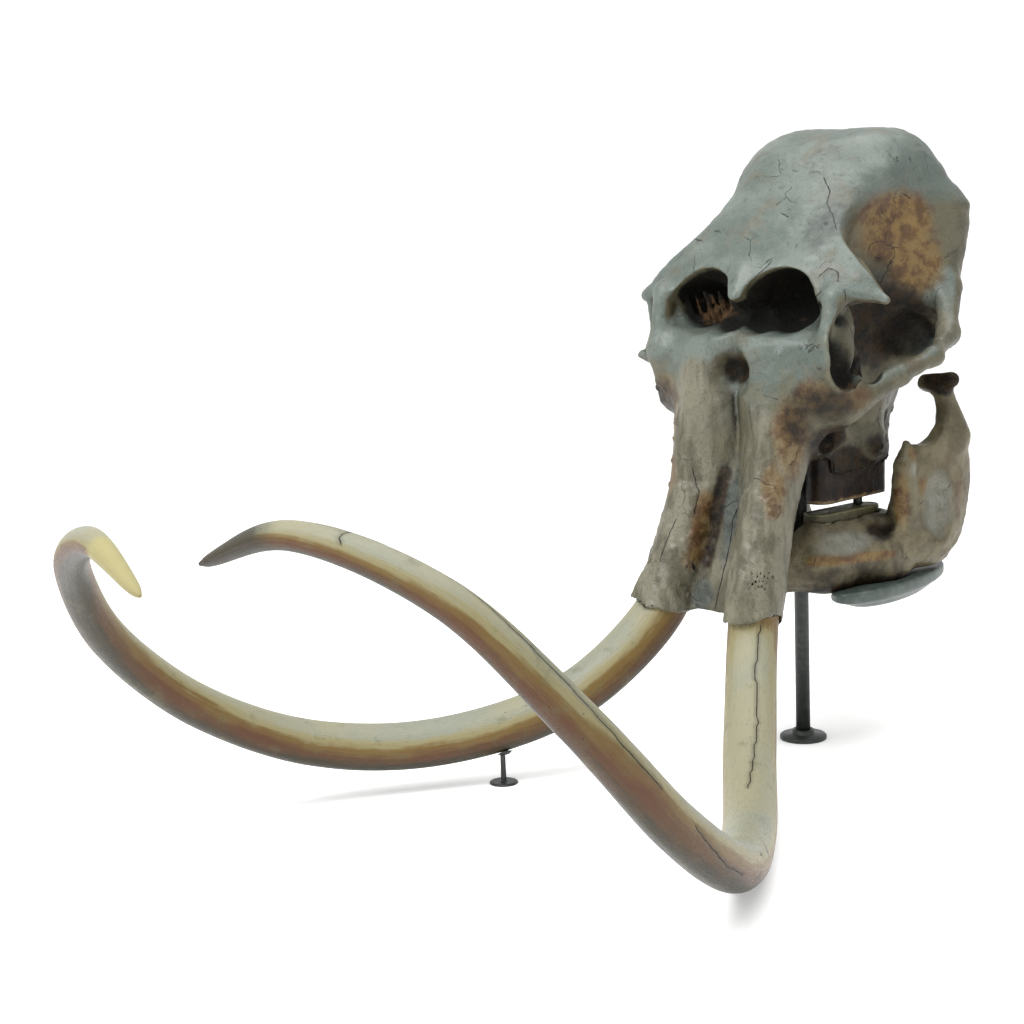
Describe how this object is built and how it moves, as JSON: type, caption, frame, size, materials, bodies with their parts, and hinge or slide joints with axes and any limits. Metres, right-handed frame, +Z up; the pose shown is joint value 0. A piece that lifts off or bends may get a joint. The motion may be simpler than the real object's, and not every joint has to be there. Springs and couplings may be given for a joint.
{
  "type": "fossil mammoth skull",
  "caption": "Mammoth skull with lower jaw and long curled tusks, carried above the floor by a steel post, jaw rests and small tusk supports.",
  "frame": {"origin": "middle of the underside of the main post's foot, on the floor", "axes": "+Z up; the face and the tusks point to -Y; +X is the animal's left"},
  "size_m": [1.5349, 2.6232, 1.6016],
  "materials": {
    "bone": "satin fossil bone, grey-green with brown stains",
    "ivory": "satin fossil ivory, olive with brown streaks",
    "tooth": "satin dark brown enamel",
    "steel": "satin dark grey",
    "dish": "satin grey-green"
  },
  "bodies": {
    "root": {"cranium": "bone", "mandible": "bone", "upper_molar_left": "tooth", "upper_molar_right": "tooth", "lower_molar_left": "tooth", "lower_molar_right": "tooth", "tusk_left": "ivory", "tusk_right": "ivory", "post": "steel", "post_foot": "steel", "jaw_rest_left": "dish", "jaw_rest_right": "dish", "jaw_spacer_left": "steel", "jaw_spacer_right": "steel", "tusk_support_left": "steel", "tusk_support_right": "steel"}
  },
  "joints": []
}
